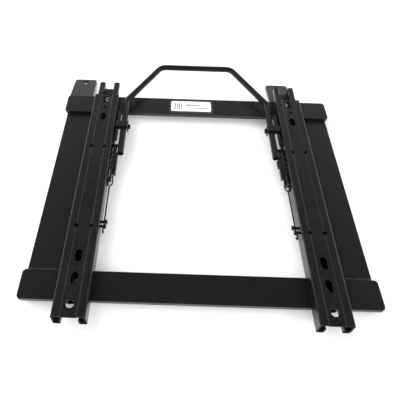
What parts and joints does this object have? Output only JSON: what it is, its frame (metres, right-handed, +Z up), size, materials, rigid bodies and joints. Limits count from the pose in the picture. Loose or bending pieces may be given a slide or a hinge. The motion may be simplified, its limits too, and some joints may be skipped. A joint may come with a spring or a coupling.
{
  "type": "sliding seat bracket",
  "caption": "Low welded floor frame for one vehicle seat, with ball-borne slide rails, toothed lock levers and a bent tube release handle.",
  "frame": {"origin": "centre of the bounding box in plan, on the floor plane under the feet", "axes": "+Y along the slide rails to the front of the vehicle, where the release handle is; +X across to the right; +Z up"},
  "size_m": [0.456, 0.486, 0.046],
  "materials": {
    "frame_coat": "satin black powder coat on flat steel bar",
    "rail_coat": "satin black coat on pressed steel rail",
    "handle_coat": "satin black coat on steel tube",
    "bolt_steel": "zinc plated steel",
    "ball_steel": "polished bearing steel, lightly greased",
    "retainer_steel": "bare strip steel",
    "lock_steel": "black finish on pressed steel",
    "pin_steel": "turned steel with dark finish",
    "spring_wire": "drawn spring wire",
    "label_film": "clear film over a white printed field",
    "clip_plastic": "moulded black plastic"
  },
  "bodies": {
    "floor_frame": {"rear_cross_bar": "frame_coat", "front_cross_bar": "frame_coat", "side_plate_left": "frame_coat", "side_plate_right": "frame_coat", "front_foot_left": "frame_coat", "front_foot_right": "frame_coat", "weld_beads": "frame_coat", "rail_bolts": "bolt_steel", "rail_nuts": "bolt_steel", "label": "label_film", "lower_rail_left": "rail_coat", "lower_rail_right": "rail_coat"},
    "slider_left": {"upper_rail_left": "rail_coat", "handle_bracket_left": "lock_steel", "pivot_pin_left": "pin_steel", "pivot_spacer_left": "pin_steel", "lock_hinge_ears_left": "lock_steel", "lock_hinge_pin_left": "pin_steel", "lock_rivets_left": "lock_steel", "lock_spring_left": "spring_wire", "spring_studs_left": "lock_steel"},
    "slider_right": {"upper_rail_right": "rail_coat", "handle_bracket_right": "lock_steel", "pivot_pin_right": "pin_steel", "pivot_spacer_right": "pin_steel", "lock_hinge_ears_right": "lock_steel", "lock_hinge_pin_right": "pin_steel", "lock_rivets_right": "lock_steel", "lock_spring_right": "spring_wire", "spring_studs_right": "lock_steel"},
    "balls_left": {"rail_balls_left": "ball_steel", "ball_retainers_left": "retainer_steel"},
    "balls_right": {"rail_balls_right": "ball_steel", "ball_retainers_right": "retainer_steel"},
    "handle": {"handle_bar": "handle_coat", "release_pins": "pin_steel"},
    "lock_left": {"lock_lever_left": "lock_steel"},
    "lock_right": {"lock_lever_right": "lock_steel", "lever_clip_right": "clip_plastic"}
  },
  "joints": [
    {"name": "slide_left", "type": "slide", "parent": "floor_frame", "child": "slider_left", "axis": [0, 1, 0], "range_m": [-0.08, 0.12]},
    {"name": "slide_right", "type": "slide", "parent": "floor_frame", "child": "slider_right", "axis": [0, 1, 0], "range_m": [-0.08, 0.12]},
    {"name": "ball_travel_left", "type": "slide", "parent": "floor_frame", "child": "balls_left", "axis": [0, 1, 0], "range_m": [-0.04, 0.06]},
    {"name": "ball_travel_right", "type": "slide", "parent": "floor_frame", "child": "balls_right", "axis": [0, 1, 0], "range_m": [-0.04, 0.06]},
    {"name": "handle_lift", "type": "hinge", "parent": "slider_left", "child": "handle", "pos_m": [0, 0.078, 0.0355], "axis": [1, 0, 0], "range_deg": [-3, 0]},
    {"name": "lock_turn_left", "type": "hinge", "parent": "slider_left", "child": "lock_left", "pos_m": [-0.132, 0.007, 0.0263], "axis": [0, 1, 0], "range_deg": [-16, 0], "deforming": ["lock_spring_left"]},
    {"name": "lock_turn_right", "type": "hinge", "parent": "slider_right", "child": "lock_right", "pos_m": [0.132, 0.007, 0.0263], "axis": [0, -1, 0], "range_deg": [-16, 0], "deforming": ["lock_spring_right"]}
  ],
  "couplings": [
    {"joint": "slide_right", "follows": "slide_left", "ratio": 1},
    {"joint": "ball_travel_left", "follows": "slide_left", "ratio": 0.5},
    {"joint": "ball_travel_right", "follows": "slide_left", "ratio": 0.5},
    {"joint": "lock_turn_left", "follows": "handle_lift", "ratio": 5.3333},
    {"joint": "lock_turn_right", "follows": "handle_lift", "ratio": 5.3333}
  ]
}
